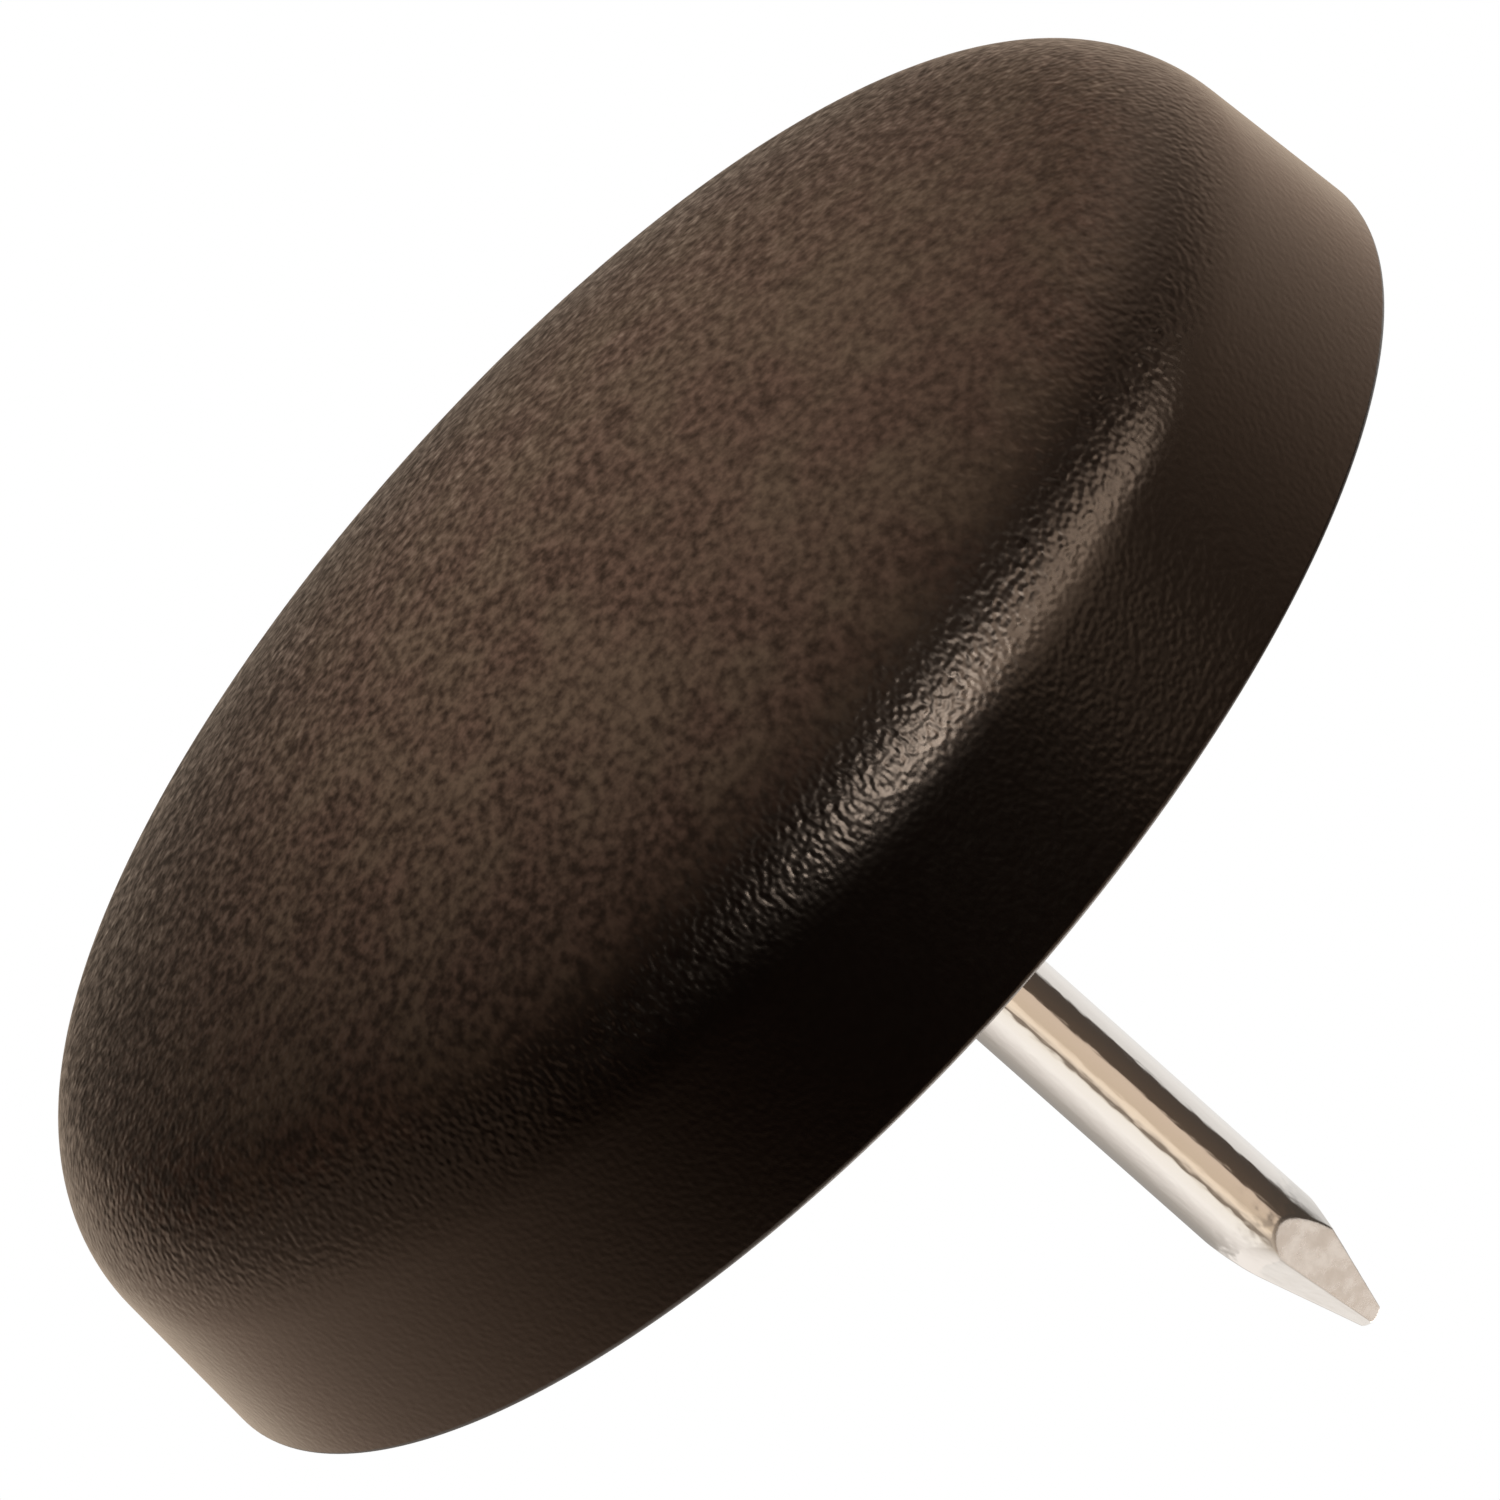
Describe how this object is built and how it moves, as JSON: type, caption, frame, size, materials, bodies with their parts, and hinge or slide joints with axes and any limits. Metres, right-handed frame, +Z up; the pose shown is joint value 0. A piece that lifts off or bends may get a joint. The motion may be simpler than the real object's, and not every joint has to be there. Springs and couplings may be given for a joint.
{
  "type": "nail-on furniture glide",
  "caption": "Round domed plastic pad with a steel wire nail moulded in its back, driven into the end of a furniture leg so that the leg slides on the floor.",
  "frame": {"origin": "lowest point of the domed glide face, on the nail's axis", "axes": "+Z up along the nail, from the glide face to the point; X and Y across the pad"},
  "size_m": [0.028, 0.028, 0.0217],
  "materials": {
    "pad_plastic": "fine spark-eroded grain on the glide face and shoulder, smoother satin side wall",
    "nail_steel": "bright plated wire with faint drawing lines, duller pinched facets at the point"
  },
  "bodies": {
    "root": {"glide_pad": "pad_plastic", "nail": "nail_steel"}
  },
  "joints": []
}
